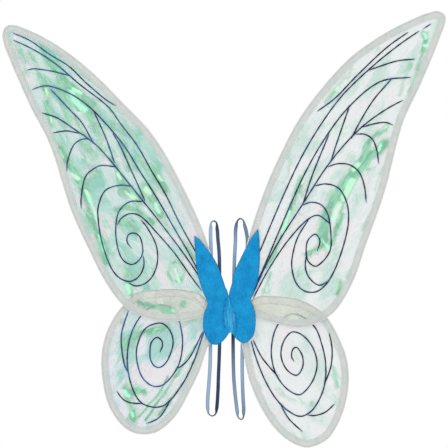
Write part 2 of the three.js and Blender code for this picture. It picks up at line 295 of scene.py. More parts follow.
# Where a fold catches the light, painted as a highlight, in the same way
PAINTED_HIGHLIGHT_FOLDS = {
    "left_upper": (
        (((-243, 338), (-232, 322), (-222, 312)), 6, 1.0),
        (((-238, 345), (-226, 338)), 3, 0.8),
        (((-258, 250), (-254, 240)), 3, 0.7),
        (((-240, 215), (-230, 206)), 3.5, 1.0),
        (((-220, 188), (-208, 162), (-202, 140)), 3, 1.0),
        (((-200, 120), (-192, 95)), 2.5, 0.7),
        (((-279, 345), (-277, 330)), 3, 0.7),
        (((-274, 300), (-272, 290)), 3, 0.7),
        (((-158, 186), (-146, 178)), 4, 0.8),
        (((-128, 190), (-122, 183)), 4, 0.9),
        (((-112, 168), (-108, 158)), 4, 1.0),
        (((-107, 212), (-101, 205)), 3, 0.7),
        (((-84, 70), (-79, 58), (-75, 50)), 2.6, 0.9),
        (((-157, 44), (-152, 32)), 4, 0.9),
        (((-170, 214), (-166, 208)), 3, 0.8),
        (((-86, 8), (-82, 4)), 3, 0.8),
    ),
    "right_upper": (
        (((188, 205), (182, 192), (176, 178)), 5.5, 1.0),
        (((170, 168), (164, 155), (158, 142)), 6, 1.0),
        (((198, 227), (192, 222)), 4.5, 0.9),
        (((240, 288), (230, 280)), 3, 0.9),
        (((232, 256), (228, 250)), 3, 0.8),
        (((93, 154), (88, 140), (82, 124)), 4, 1.0),
        (((59, 42), (58, 36)), 3, 0.9),
        (((297, 430), (300, 422)), 2.6, 0.9),
        (((299, 411), (303, 411)), 3, 1.0),
        (((167, 348), (165, 344)), 3, 1.0),
        (((143, 112), (152, 100)), 3, 0.6),
    ),
    "left_lower": (
        (((-160, -118), (-155, -124)), 4, 0.9),
        (((-112, -25), (-104, -22)), 3, 0.6),
        (((-54, -74), (-50, -68)), 3, 0.6),
        (((-150, -150), (-146, -158)), 3, 0.6),
    ),
    "right_lower": (
        (((120, -60), (124, -75)), 4, 0.2),
    ),
}
# The film's own tints on each wing away from its green folds: pale, middle, deep, pink
FILM_TINTS = {
    "left_upper": ((163, 205, 199), (125, 205, 189), (80, 192, 170), (223, 207, 217)),
    "right_upper": ((223, 227, 229), (212, 225, 223), (193, 221, 213), (236, 221, 229)),
    "left_lower": ((209, 216, 230), (183, 212, 219), (138, 205, 198), (228, 214, 226)),
    "right_lower": ((228, 231, 233), (219, 228, 229), (202, 222, 218), (232, 222, 229)),
}
# How strongly the painted shade of the film's fine creases shows on each wing, 0 to 1
CREASE_SHADE_STRENGTH = {"left_upper": 0.42, "right_upper": 0.2, "left_lower": 0.34, "right_lower": 0.12}
LENS_EDGE = 3 * MM      # how gradually the film turns clear over the wing behind

# Felt
FELT_STEP = 3 * MM
FELT_SAG = 0.3 * MM
FELT_ROUND = 1.6 * MM
FELT_CUT = 0.6 * MM      # how far in from its cut edge the felt has painted shade
# The seam down the butterfly's middle, from its top notch to its bottom one, for each half
FELT_SEAM = {
    -1: ((-3.4, 38), (-1.5, 32), (-0.6, 28), (0, 15), (0.4, 0), (0.9, -15), (1.1, -25),
         (-0.6, -30)),
    1: ((2.9, 42), (0.6, 34), (-0.6, 28), (0, 15), (0.4, 0), (0.9, -15), (1.1, -25),
        (2.6, -28)),
}
# The foot of the stitched fold's two flanks, left and right
FELT_FLANKS = (
    ((-2, 28), (-6, 15), (-8.5, 2), (-8.2, -12), (-5, -24)),
    ((0.5, 28), (4, 15), (8.5, 3), (10.6, -8), (11, -20), (9, -31)),
)
FLANK_REACH = 1.1 * MM
FELT_LIFT = 1.5 * MM     # where it passes over the centre stay
STAY_REACH = 7.6 * MM
STAY_SLOPE = 3 * MM
STAY_CLEARANCE = 0.15 * MM
SEAM_HALF_LENGTH = 27 * MM
RIDGE_TOP = (-0.6 * MM, 28 * MM)        # the line of the stitched fold, as (x, z)
RIDGE_BOTTOM = (1.1 * MM, -25 * MM)
RIDGE_STATIONS = 40
RIDGE_POINTS = 15
RIDGE_BACK = 0.9 * MM   # how far its rear lies behind the felt's raised face

# Tape wound round the stay and the wings' roots
TAPE_SIDES = 32
TAPE_STEP = 0.5 * MM
TAPE_PITCH = 4.2 * MM
TAPE_LAP = 0.25 * MM
TAPE_ROUND = 1.2 * MM
TAPE_SQUARENESS = 3.6    # 2 is an ellipse, and more is squarer

# Shoulder loops
LOOP_STEP = 2 * MM
ELASTIC_WIDTH = 5.5 * MM
ELASTIC_THICKNESS = 1.5 * MM
STRAND_BAND = 6 * MM     # how far up and down a strand's place is taken from
TIP_LENGTH = 16 * MM
TIP_ANGLE = math.radians(74)
# Painted light and shade on each loop's strands, 0 lit pale to 1 shaded navy: heights in mm, the left
# strand, the right
STRAND_LIGHT_AND_SHADE = {
    "left": ((-160, -150, -60, 60, 125, 138, 146), (0.9, 0.25, 0.1, 0.05, 0.05, 0.1, 0.5),
             (1.0, 1.0, 0.95, 0.9, 0.9, 1.0, 1.0)),
    "right": ((-165, -150, -90, -30, 20, 110, 134, 146),
              (0.6, 0.35, 0.55, 1.0, 0.3, 0.25, 0.7, 1.0),
              (0.9, 0.55, 0.2, 0.1, 0.25, 0.5, 0.55, 0.65)),
}

# Bar tacks
STITCH_ROWS = 5
STITCH_POINTS = 9
STITCH_SIDES = 8
STITCH_RADIUS = 0.26 * MM
STITCH_TILT = 0.35 * MM
STITCH_ARCH = 0.18 * MM
STITCH_SINK = 0.1 * MM
STITCH_MARGIN = 0.3 * MM

# The pad on the wearer's side
PAD_BEVEL = 0.45 * MM

# Camera and stage
CAMERA_LENS = 135.0
CAMERA_SENSOR = 36.0
VIEW_WIDTH = 0.6854
VIEW_CENTRE = (-0.0076, 0.1377)
WORN_HEIGHT = 1.25      # of the hub above the floor
FLOOR_REACH = 4
LAMPS = (               # name, place, what it points at, size, power
    ("key", (-1.6, -2.2, 2.0), (0, 0, 0.15), 1.2, 14),
    ("fill", (2.0, -1.8, 0.6), (0, 0, 0.1), 1.6, 5),
)


# ---------------------------------------------------------------- flat geometry, (x, z) arrays

def signed_area(loop):
    """The area inside a loop, above 0 where it runs anticlockwise."""
    x, z = loop[:, 0], loop[:, 1]
    return 0.5 * np.sum(x * np.roll(z, -1) - np.roll(x, -1) * z)


def eased(share):
    """0 to 1 with a soft start and a soft end."""
    return share * share * (3 - 2 * share)


def rim_loops(node):
    """The closed outlines of a flat CAD node's front face, the longest first."""
    mesh = frame["nodes"][node].data
    following = {}
    for face in mesh.polygons:
        if face.normal.y > -0.9:
            continue
        corners = [mesh.vertices[i].co for i in face.vertices]
        keys = [(round(c.x, 6), round(c.z, 6)) for c in corners]
        for a, b in zip(keys, keys[1:] + keys[:1]):
            if following.get(b) == {a}:
                following.pop(b)
            elif a in following.get(b, ()):
                following[b].remove(a)
            else:
                following.setdefault(a, set()).add(b)
    loops = []
    while following:
        start = min(following)
        loop = [start]
        while loop[-1] in following:
            ahead = following[loop[-1]]
            step = min(ahead)
            ahead.remove(step)
            if not ahead:
                following.pop(loop[-1])
            if step == start:
                break
            loop.append(step)
        loops.append(np.array(loop))

    def perimeter(loop):
        return np.linalg.norm(loop - np.roll(loop, 1, 0), axis=1).sum()

    return sorted(loops, key=perimeter, reverse=True)


def weighed(a, b, start, end, t):
    """On the way from a, at start, to b, at end, for each t."""
    return (end - t) / (end - start) * a + (t - start) / (end - start) * b


def catmull(points, step, closed=False):
    """A smooth line through the points, with a station about every step."""
    points = np.asarray(points, float)
    if closed:
        padded = np.vstack([points[-1:], points, points[:2]])
    else:
        first = 2 * points[0] - points[1]
        last = 2 * points[-1] - points[-2]
        padded = np.vstack([first, points, last])
    out = []
    for p0, p1, p2, p3 in zip(padded, padded[1:], padded[2:], padded[3:]):
        knots = np.cumsum([0.0] + [
            max(np.linalg.norm(b - a), 1e-7) ** 0.5 for a, b in ((p0, p1), (p1, p2), (p2, p3))])
        count = max(1, int(round(np.linalg.norm(p2 - p1) / step)))
        t = np.linspace(knots[1], knots[2], count, endpoint=False)[:, None]
        before = weighed(p0, p1, knots[0], knots[1], t)
        across = weighed(p1, p2, knots[1], knots[2], t)
        after = weighed(p2, p3, knots[2], knots[3], t)
        before = weighed(before, across, knots[0], knots[2], t)
        after = weighed(across, after, knots[1], knots[3], t)
        out.append(weighed(before, after, knots[1], knots[2], t))
    line = np.vstack(out)
    return line if closed else np.vstack([line, points[-1:]])


def smooth(line, step, closed=False, corner_degrees=CORNER_DEGREES):
    """A line smoothed everywhere but at its sharp corners."""
    before = line - np.roll(line, 1, 0)
    after = np.roll(line, -1, 0) - line
    cross = before[:, 0] * after[:, 1] - before[:, 1] * after[:, 0]
    turn = np.abs(np.degrees(np.arctan2(cross, (before * after).sum(1))))
    if not closed:
        turn[[0, -1]] = 180
    corners = np.flatnonzero(turn > corner_degrees)
    if len(corners) == 0:
        return catmull(line, step, closed=True)
    ends = np.append(corners[1:], corners[0] + len(line)) if closed else corners[1:]
    out = []
    for start, end in zip(corners, ends):
        stretch = line[np.arange(start, end + 1) % len(line)]
        out.append(catmull(stretch, step)[:-1])
    return np.vstack(out if closed else out + [line[-1:]])


def distance_to(points, line, closed=False):
    """Each point's distance to the line."""
    a = line
    b = np.roll(line, -1, 0)
    if not closed:
        a, b = a[:-1], b[:-1]
    best = np.full(len(points), np.inf)
    for p, q in zip(a, b):
        d = q - p
        t = np.clip(((points - p) @ d) / max(d @ d, 1e-18), 0, 1)
        best = np.minimum(best, np.linalg.norm(points - p - t[:, None] * d, axis=1))
    return best


def inward_normals(line, closed=False):
    """Unit vectors at right angles to the line, into what it goes round."""
    tangent = np.gradient(line, axis=0)
    if closed:
        tangent = np.roll(line, -1, 0) - np.roll(line, 1, 0)
    normal = np.stack([-tangent[:, 1], tangent[:, 0]], 1)
    normal /= np.linalg.norm(normal, axis=1, keepdims=True)
    return normal if signed_area(line) > 0 else -normal


def moved_in(line, distance, closed=False):
    """The line moved inwards, station for station, with the loops of tight bends closed up."""
    moved = line + distance * inward_normals(line, closed)
    gap = distance_to(moved, line, closed)
    good = np.flatnonzero(gap >= abs(distance) * 0.97)
    everywhere = np.arange(len(line))
    period = len(line) if closed else None
    return np.stack([
        np.interp(everywhere, good, moved[good, axis], period=period) for axis in (0, 1)], 1)


def is_inside(points, loop):
    """Which of the points lie inside the loop."""
    result = np.zeros(len(points), bool)
    x, z = points[:, 0], points[:, 1]
    for (ax, az), (bx, bz) in zip(loop, np.roll(loop, -1, 0)):
        if az == bz:
            continue
        crossing = (az > z) != (bz > z)
        result ^= crossing & (x < ax + (z - az) / (bz - az) * (bx - ax))
    return result


def filled(loop, step):
    """The region inside a loop as points and triangles, about a step apart."""
    low, high = loop.min(0), loop.max(0)
    rows = np.arange(low[1], high[1], step * 0.866)
    grid = []
    for i, z in enumerate(rows):
        xs = np.arange(low[0] + (i % 2) * step / 2, high[0], step)
        grid.append(np.stack([xs, np.full_like(xs, z)], 1))
    grid = np.vstack(grid)
    grid = grid[is_inside(grid, loop)]
    gap = distance_to(grid, loop, closed=True)
    grid = grid[gap > step * 0.55]
    points = [Vector(p) for p in np.vstack([loop, grid])]
    rim = [(i, (i + 1) % len(loop)) for i in range(len(loop))]
    verts, _, faces, _, _, _ = delaunay_2d_cdt(points, rim, [], 1, 1e-7)
    return np.array([tuple(v) for v in verts]), [tuple(f) for f in faces]


# ---------------------------------------------------------------- meshes

def add_mesh(name, verts, faces, material):
    mesh = bpy.data.meshes.new(name)
    mesh.from_pydata([tuple(v) for v in verts], [], faces)
    mesh.validate()
    mesh.update()
    for face in mesh.polygons:
        face.use_smooth = True
    mesh.materials.append(material)
    piece = bpy.data.objects.new(name, mesh)
    bpy.context.scene.collection.objects.link(piece)
    return piece


def facing_forward(points, faces):
    """The triangles, each wound so that it faces -Y once stood upright."""
    out = []
    for a, b, c in faces:
        (ax, az), (bx, bz), (cx, cz) = points[a], points[b], points[c]
        anticlockwise = (bx - ax) * (cz - az) - (bz - az) * (cx - ax) > 0
        out.append((a, b, c) if anticlockwise else (a, c, b))
    return out


def set_uv(piece, values):
    """Gives every corner its vertex's (u, v)."""
    layer = piece.data.uv_layers.new(name="cloth")
    index = np.array([loop.vertex_index for loop in piece.data.loops])
    layer.data.foreach_set("uv", np.asarray(values, np.float32)[index].ravel())


def set_attribute(piece, name, values):
    """Gives every vertex a number that materials can read."""
    attribute = piece.data.attributes.new(name, "FLOAT", "POINT")
    attribute.data.foreach_set("value", np.asarray(values, np.float32))


def thin_sheet(name, loop, step, depth_of, material):
    """One surface inside a loop, at depth_of(points) in Y."""
    points, faces = filled(loop, step)
    verts = upright(points, depth_of(points))
    piece = add_mesh(name, verts, facing_forward(points, faces), material)
    return piece, points


def solid_sheet(name, loop, step, front_of, back_of, material):
    """A closed panel inside a loop between two depths that are functions of the points."""
    points, faces = filled(loop, step)
    faces = facing_forward(points, faces)
    count = len(points)
    front = upright(points, front_of(points))
    back = upright(points, back_of(points))
    edges = {}          # the rim's edges, kept in order
    for face in faces:
        for a, b in zip(face, face[1:] + face[:1]):
            if (b, a) in edges:
                edges.pop((b, a))
            else:
                edges[(a, b)] = True
    walls = [(b, a, a + count, b + count) for a, b in edges]
    behind = [tuple(i + count for i in reversed(face)) for face in faces]
    return add_mesh(name, np.vstack([front, back]), faces + behind + walls, material)


def tube_faces(stations, width, closed=False):
    """Faces from ring to ring along a tube, with a cap on each end unless it is closed."""
    faces = []
    for i in range(stations if closed else stations - 1):
        j = (i + 1) % stations
        for k in range(width):
            m = (k + 1) % width
            faces.append((i * width + k, j * width + k, j * width + m, i * width + m))
    if not closed:
        faces.append(tuple(range(width)))
        faces.append(tuple((stations - 1) * width + k for k in reversed(range(width))))
    return faces


def sweep(path, profiles, sides, ups, closed=False):
    """Verts and faces of profiles, one (side, up) list per station, carried along a 3-D path."""
    path = np.asarray(path, float)
    profiles = np.asarray(profiles, float)
    verts = path[:, None] + profiles[..., 0:1] * sides[:, None] + profiles[..., 1:2] * ups[:, None]
    return verts.reshape(-1, 3), tube_faces(*verts.shape[:2], closed)


def joined(parts):
    """Several (verts, faces) as one."""
    verts, faces, base = [], [], 0
    for part_verts, part_faces in parts:
        verts.append(part_verts)
        faces += [tuple(i + base for i in face) for face in part_faces]
        base += len(part_verts)
    return np.vstack(verts), faces


def face_outwards(piece):
    """Turns every face of a closed piece outwards."""
    mesh = bmesh.new()
    mesh.from_mesh(piece.data)
    bmesh.ops.recalc_face_normals(mesh, faces=mesh.faces)
    mesh.to_mesh(piece.data)
    mesh.free()


def flat_frame(line):
    """Side (in the plane) and up (forward) vectors for a sweep along a flat line."""
    sides = upright(inward_normals(line), 0.0)
    ups = np.tile([0.0, FORWARD, 0.0], (len(line), 1))
    return sides, ups


def upright(line, depth):
    """Flat (x, z) points as (x, y, z), at one depth or at one each."""
    depth = np.broadcast_to(depth, len(line))
    return np.stack([line[:, 0], depth, line[:, 1]], 1)


# ---------------------------------------------------------------- materials

def srgb(r, g, b):
    """A colour given as it looks, 0 to 255, as the shader wants it."""
    def linear(c):
        c /= 255
        return c / 12.92 if c <= 0.04045 else ((c + 0.055) / 1.055) ** 2.4
    return (linear(r), linear(g), linear(b), 1.0)


class Shader:
    """A Principled material and short ways to add nodes to it."""

    def __init__(self, name, roughness=0.5, metallic=0.0, alpha=1.0, **values):
        self.material = bpy.data.materials.new(name)
        self.material.use_nodes = True
        self.tree = self.material.node_tree
        self.bsdf = self.tree.nodes["Principled BSDF"]
        self.bsdf.inputs["Roughness"].default_value = roughness
        self.bsdf.inputs["Metallic"].default_value = metallic
        self.bsdf.inputs["Alpha"].default_value = alpha
        for socket, value in values.items():
            self.bsdf.inputs[socket.replace("_", " ")].default_value = value

    def link(self, out, into):
        self.tree.links.new(out, into)

    def node(self, kind, **settings):
        made = self.tree.nodes.new(kind)
        for key, value in settings.items():
            setattr(made, key, value)
        return made

    def place(self, scale=(1, 1, 1), uv=False, shift=(0, 0, 0)):
        """Object coordinates, or the cloth's own, scaled and shifted."""
        if uv:
            source = self.node("ShaderNodeUVMap", uv_map="cloth").outputs[0]
        else:
            source = self.node("ShaderNodeTexCoord").outputs["Object"]
        mapping = self.node("ShaderNodeMapping")
        mapping.inputs["Scale"].default_value = scale
        mapping.inputs["Location"].default_value = shift
        self.link(source, mapping.inputs["Vector"])
        return mapping.outputs[0]

    def noise(self, vector, scale=1.0, detail=3.0, roughness=0.55, distortion=0.0):
        made = self.node("ShaderNodeTexNoise")
        for socket, value in (("Scale", scale), ("Detail", detail), ("Roughness", roughness),
                              ("Distortion", distortion)):
            made.inputs[socket].default_value = value
        self.link(vector, made.inputs["Vector"])
        return made.outputs[0]

    def facets(self, vector):
        """Crumpled cells with uneven sides: each one's own value, and the gap to its edge."""
        drift = self.node("ShaderNodeTexNoise")
        drift.inputs["Scale"].default_value = 1.3
        self.link(vector, drift.inputs["Vector"])
        bent = self.node("ShaderNodeVectorMath", operation="MULTIPLY_ADD")
        self.link(drift.outputs["Color"], bent.inputs[0])
        bent.inputs[1].default_value = (0.9, 0.9, 0.0)
        self.link(vector, bent.inputs[2])
        made = []
        for feature in ("F1", "DISTANCE_TO_EDGE"):
            cells = self.node("ShaderNodeTexVoronoi", voronoi_dimensions="2D", feature=feature)
            cells.inputs["Scale"].default_value = 1.0
            self.link(bent.outputs[0], cells.inputs["Vector"])
            made.append(cells)
        own = self.node("ShaderNodeSeparateColor")
        self.link(made[0].outputs["Color"], own.inputs[0])
        return own.outputs[0], made[1].outputs["Distance"]

    def attribute(self, name):
        return self.node("ShaderNodeAttribute", attribute_name=name).outputs["Fac"]

    def math(self, operation, a, b=None):
        made = self.node("ShaderNodeMath", operation=operation)
        for socket, value in zip(made.inputs, (a, b)):
            if value is None:
                continue
            if isinstance(value, (int, float)):
                socket.default_value = value
            else:
                self.link(value, socket)
        return made.outputs[0]

    def plus(self, a, b):
        return self.math("ADD", a, b)

    def minus(self, a, b):
        return self.math("SUBTRACT", a, b)

    def times(self, a, b):
        return self.math("MULTIPLY", a, b)

    def larger(self, a, b):
        return self.math("MAXIMUM", a, b)

    def away(self, value, centre):
        """How far the value is from the centre, on either side."""
        return self.math("ABSOLUTE", self.minus(value, centre))

    def between(self, value, low, high, to_low=0.0, to_high=1.0):
        """value from low to high, smoothly, as to_low to to_high."""
        made = self.node("ShaderNodeMapRange", interpolation_type="SMOOTHSTEP")
        for socket, number in zip(made.inputs[1:5], (low, high, to_low, to_high)):
            socket.default_value = number
        self.link(value, made.inputs[0])
        return made.outputs[0]

    def mix(self, factor, a, b, blend="MIX"):
        made = self.node("ShaderNodeMix", data_type="RGBA", blend_type=blend)
        for socket, value in ((made.inputs[0], factor), (made.inputs[6], a), (made.inputs[7], b)):
            if isinstance(value, (int, float, tuple)):
                socket.default_value = value
            else:
                self.link(value, socket)
        return made.outputs[2]

    def bump(self, height, strength, distance):
        made = self.node("ShaderNodeBump")
        made.inputs["Strength"].default_value = strength
        made.inputs["Distance"].default_value = distance
        self.link(height, made.inputs["Height"])
        self.link(made.outputs[0], self.bsdf.inputs["Normal"])

    def colour(self, value):
        self.link(value, self.bsdf.inputs["Base Color"])

    def alpha(self, value):
        self.link(value, self.bsdf.inputs["Alpha"])


def film_material(wing):
    """Iridescent film: clear and pale, but greener and denser where its folds turn it."""
    look = Shader(wing + "_film", roughness=0.35, IOR=1.45)
    folds = look.noise(look.place((30, 11, 1), uv=True), detail=1.5, roughness=0.45, distortion=0.7)
    patches = look.noise(look.place((19, 13, 1), uv=True, shift=(3.1, 1.7, 0)), detail=1.5,
                      distortion=1.1)
    creases = look.noise(look.place((120, 26, 1), uv=True), detail=2, roughness=0.5, distortion=1.2)
    hatch = look.noise(look.place((620, 46, 1), uv=True, shift=(0.4, 0.9, 0)), detail=1)
    speck = look.noise(look.place((1, 1, 1), uv=True), scale=900, detail=1)
    facet, facet_edge = look.facets(look.place((105, 44, 1), uv=True))
    turned = look.minus(facet, 0.5)

    pale, mid, deep, pink = (srgb(*tint) for tint in FILM_TINTS[wing])
    washed = look.plus(folds, look.times(look.minus(creases, 0.5), 0.25))
    washed = look.plus(washed, look.times(turned, 0.12))
    middle = look.between(washed, 0.4, 0.54)
    deeper = look.between(patches, 0.48, 0.62)
    base = look.mix(middle, pale, mid)
    base = look.mix(look.times(middle, deeper), base, deep)
    base = look.mix(look.between(patches, 0.36, 0.47, 0.8, 0.0), base, pink)
    # Painted highlight: thin pale lines along the film's broad folds.
    painted_fold_highlight = look.away(folds, 0.5)
    base = look.mix(look.between(painted_fold_highlight, 0.0, 0.014, 0.45, 0.0), base, srgb(236, 248, 240))
    # Painted shade: darker lines in the film's fine creases.
    painted_crease_shade = look.away(creases, 0.47)
    base = look.mix(look.between(painted_crease_shade, 0.0, 0.02, CREASE_SHADE_STRENGTH[wing], 0.0), base, srgb(96, 142, 124))
    # Painted shade: fine darker hatch lines of creases on the folds.
    shown = 0.75 * CREASE_SHADE_STRENGTH[wing]
    lines = look.times(look.between(hatch, 0.52, 0.66), look.between(folds, 0.48, 0.6, 0.0, shown))
    base = look.mix(lines, base, srgb(112, 170, 146))

    # Painted shade along the creases between the film's crumpled cells.
    painted_facet_shade = look.times(look.between(facet_edge, 0.0, 0.08, CREASE_SHADE_STRENGTH[wing], 0.0), middle)
    base = look.mix(painted_facet_shade, base, srgb(112, 166, 146))
    wander = look.times(look.minus(creases, 0.5), 0.9)
    wander = look.plus(wander, look.times(turned, 0.45))
    turning = look.plus(look.attribute("green"), wander)
    green = look.between(turning, 0.12, 0.82)
    shade = look.mix(look.between(creases, 0.4, 0.6), srgb(66, 172, 128), srgb(128, 210, 164))
    shade = look.mix(look.between(hatch, 0.46, 0.66, 0.0, 0.4), shade, srgb(52, 150, 118))
    colour = look.mix(green, base, shade)
    # Painted shade: dark green creases round the edges of the green folds.
    outline = look.away(turning, 0.42)
    colour = look.mix(look.between(outline, 0.0, 0.1, CREASE_SHADE_STRENGTH[wing], 0.0), colour, srgb(56, 128, 100))
    # Painted highlights: mint and pale yellow glints where the folds catch the light.
    bright = look.between(look.plus(look.attribute("bright"), wander), 0.28, 0.8)
    painted_glint = look.mix(look.between(patches, 0.45, 0.6), srgb(172, 255, 214), srgb(202, 251, 208))
    colour = look.mix(bright, colour, painted_glint)
    # Where the wings overlap, the film is thinner and is painted paler, as light that makes up for the
    # shade the overlapping wing casts.
    lens = look.attribute("lens")
    clear = look.times(lens, look.minus(1.0, green))
    colour = look.mix(clear, colour, srgb(220, 226, 208))
    # Painted light: the upper film paler over the lower wing's hem, for the lit hem seen through it,
    # with darker lines along the band's edges.
    behind = look.attribute("hem_behind")
    painted_hem_light = look.times(look.times(behind, 0.95), clear)
    colour = look.mix(painted_hem_light, colour, srgb(250, 244, 239))
    border = look.between(look.away(behind, 0.5), 0.1, 0.42, 0.45, 0.0)
    colour = look.mix(border, colour, srgb(152, 147, 141))
    halo = look.times(look.attribute("halo"), 0.75)
    colour = look.mix(halo, colour, srgb(40, 118, 186))
    colour = look.mix(look.between(speck, 0.7, 0.78, 0.0, 0.5), colour, srgb(60, 104, 96))
    look.colour(colour)

    solid = look.plus(look.times(middle, 0.1), 0.55)
    solid = look.plus(solid, look.times(look.times(middle, deeper), 0.15))
    solid = look.larger(solid, look.times(green, 0.88))
    solid = look.larger(solid, look.times(halo, 0.95))
    look.alpha(look.minus(solid, look.times(clear, 0.26)))
    look.bump(folds, 0.4, 0.002)
    return look.material


def mesh_material():
    """Sheer nylon mesh: hardly there, with a fine weave."""
    look = Shader("sheer_mesh", roughness=0.7, alpha=0.12)
    weave = look.noise(look.place((900, 900, 900)), detail=1)
    look.colour(look.mix(look.between(weave, 0.4, 0.6), srgb(176, 196, 190), srgb(202, 214, 210)))
    return look.material


def hem_material():
    """The turned-in double mesh along the wire: whitish grey, with a line where it turns."""
    look = Shader("hem_mesh", roughness=0.75, alpha=0.72)
    cloud = look.noise(look.place((60, 60, 60)), detail=3)
    colour = look.mix(look.between(cloud, 0.35, 0.65), srgb(208, 212, 208), srgb(197, 206, 202))
    streak = look.noise(look.place((500, 500, 90)), detail=2)
    colour = look.mix(look.between(streak, 0.45, 0.7, 0.0, 0.5), colour, srgb(219, 223, 221))
    fold = look.attribute("fold")
    colour = look.mix(look.between(fold, 0.45, 1.0), colour, srgb(236, 236, 234))
    line = look.away(fold, 0.3)
    # Painted light: paler where the upper wing lies over this hem, making up for the shade that wing
    # casts on it.
    lens = look.attribute("lens")
    colour = look.mix(lens, colour, srgb(218, 221, 216))
    rim = look.times(lens, look.between(fold, 0.55, 1.0))
    colour = look.mix(rim, colour, srgb(150, 148, 142))
    colour = look.mix(look.between(line, 0.0, 0.14, 0.42, 0.0), colour, srgb(164, 158, 160))
    look.colour(colour)
    look.bump(streak, 0.3, 0.0004)
    return look.material


def vein_material(wing):
    """Glitter print from blue-black to mid blue, with lighter blue grains, partly the glitter's own
    colour and partly its painted glints.
    """
    look = Shader(wing + "_glitter_print", roughness=0.55, Specular_IOR_Level=0.2)
    grain = look.noise(look.place((1400, 1400, 1400)), detail=2)
    drift = look.noise(look.place((16, 16, 16)), detail=1)
    one, other = (srgb(*tint) for tint in VEIN_TINTS[wing])
    colour = look.mix(look.between(drift, 0.42, 0.6), one, other)
    # Lighter blue grains: partly the glitter's own colour, partly painted glints.
    look.colour(look.mix(look.between(grain, 0.6, 0.74, 0.0, 0.35), colour, srgb(86, 132, 174)))
    look.bump(grain, 0.5, 0.0003)
    return look.material


def felt_material():
    """Pressed craft felt: bright blue with short paler and darker fibres."""
    look = Shader("blue_felt", roughness=0.95, Specular_IOR_Level=0.15, Sheen_Weight=0.03)
    fibre = look.noise(look.place((430, 220, 270)), detail=5, roughness=0.75, distortion=1.2)
    cloud = look.noise(look.place((55, 55, 55)), detail=4)
    colour = look.mix(look.between(cloud, 0.3, 0.7), srgb(10, 130, 190), srgb(24, 150, 208))
    colour = look.mix(look.between(fibre, 0.32, 0.5, 0.55, 0.0), colour, srgb(4, 102, 168))
    colour = look.mix(look.between(fibre, 0.52, 0.7, 0.0, 0.5), colour, srgb(64, 172, 222))
    streak = look.noise(look.place((620, 620, 45)), detail=3)
    # Painted highlight: paler felt on the raised fold between its flanks.
    ridge_highlight = look.times(look.attribute("ridge_highlight"), look.between(streak, 0.4, 0.62))
    colour = look.mix(look.times(ridge_highlight, 0.7), colour, srgb(84, 178, 222))
    # Painted shade: a darker line down each flank of the fold.
    shadow = look.times(look.attribute("flank"), look.between(streak, 0.3, 0.5, 0.6, 1.0))
    colour = look.mix(look.times(shadow, 0.75), colour, srgb(8, 88, 142))
    # Painted shade along the felt's cut edge.
    colour = look.mix(look.between(look.attribute("cut_edge_shade"), 0.6, 1.0, 0.0, 0.75), colour, srgb(8, 78, 128))
    look.colour(colour)
    look.bump(fibre, 0.6, 0.0008)
    return look.material


def elastic_material():
    """Narrow elastic with fine ribs, painted from pale lavender-blue where lit to navy where shaded, as
    its sheen turns.
    """
    look = Shader("braided_elastic", roughness=0.6, Specular_IOR_Level=0.25)
    rib = look.node("ShaderNodeTexWave", wave_type="BANDS", bands_direction="Z")
    rib.inputs["Scale"].default_value = 190
    rib.inputs["Distortion"].default_value = 1.0
    look.link(look.place(), rib.inputs["Vector"])
    ribs = rib.outputs[1]
    drift = look.noise(look.place((120, 120, 34)), detail=2)
    pale = look.mix(look.between(ribs, 0.2, 0.8), srgb(148, 178, 206), srgb(170, 198, 224))
    navy = look.mix(look.between(ribs, 0.2, 0.8), srgb(14, 32, 60), srgb(34, 60, 98))
    navy = look.mix(look.between(drift, 0.55, 0.7, 0.0, 0.6), navy, srgb(74, 104, 142))
    # Painted light and shade: pale where a strand is lit, navy where it is shaded.
    colour = look.mix(look.attribute("shade"), pale, navy)
    look.colour(look.mix(look.times(look.attribute("edge"), 0.8), colour, srgb(34, 58, 92)))
    look.bump(ribs, 0.4, 0.0003)
    return look.material


def tape_material():
    look = Shader("cloth_tape", roughness=0.8)
    weave = look.noise(look.place((1200, 1200, 1200)), detail=2)
    wrap = look.noise(look.place((60, 60, 420)), detail=2)
    colour = look.mix(look.between(weave, 0.35, 0.65), srgb(222, 222, 216), srgb(240, 240, 236))
    look.colour(look.mix(look.between(wrap, 0.5, 0.65, 0.0, 0.4), colour, srgb(190, 192, 190)))
    look.bump(weave, 0.4, 0.0003)
    return look.material


def thread_material():
    look = Shader("sewing_thread", roughness=0.6)
    twist = look.noise(look.place((2600, 2600, 2600)), detail=1)
    look.colour(look.mix(look.between(twist, 0.35, 0.65), srgb(26, 44, 96), srgb(62, 92, 150)))
    return look.material


def wire_material():
    look = Shader("coated_wire", roughness=0.4)
    mottle = look.noise(look.place((90, 90, 90)), detail=3)
    look.colour(look.mix(look.between(mottle, 0.4, 0.6), srgb(196, 186, 190), srgb(210, 202, 204)))
    return look.material


# ---------------------------------------------------------------- wings

def root_of(wing):
    """The middle of the wing's root wrap, as (x, z)."""
    low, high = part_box(wing + "_root_wrap")
    return np.array([(low.x + high.x) / 2, (low.z + high.z) / 2])


def layer_of(wing):
    """The depth of the wing's wire, which the other layers are set from."""
    low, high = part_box(wing + "_wire_loop")
    return (low.y + high.y) / 2


def open_at_root(loop, root):
    """The outline from the root round to the root again, without its short closing edge."""
    middles = (loop + np.roll(loop, -1, 0)) / 2
    closing = int(np.argmin(np.linalg.norm(middles - root, axis=1)))
    return np.roll(loop, -(closing + 1), 0)


def in_pull_axes(wing, points):
    """The points' places across and along the way that the film was pulled."""
    along = np.array(WING_AXIS[wing])
    across = np.array([-along[1], along[0]])
    return points @ across, points @ along


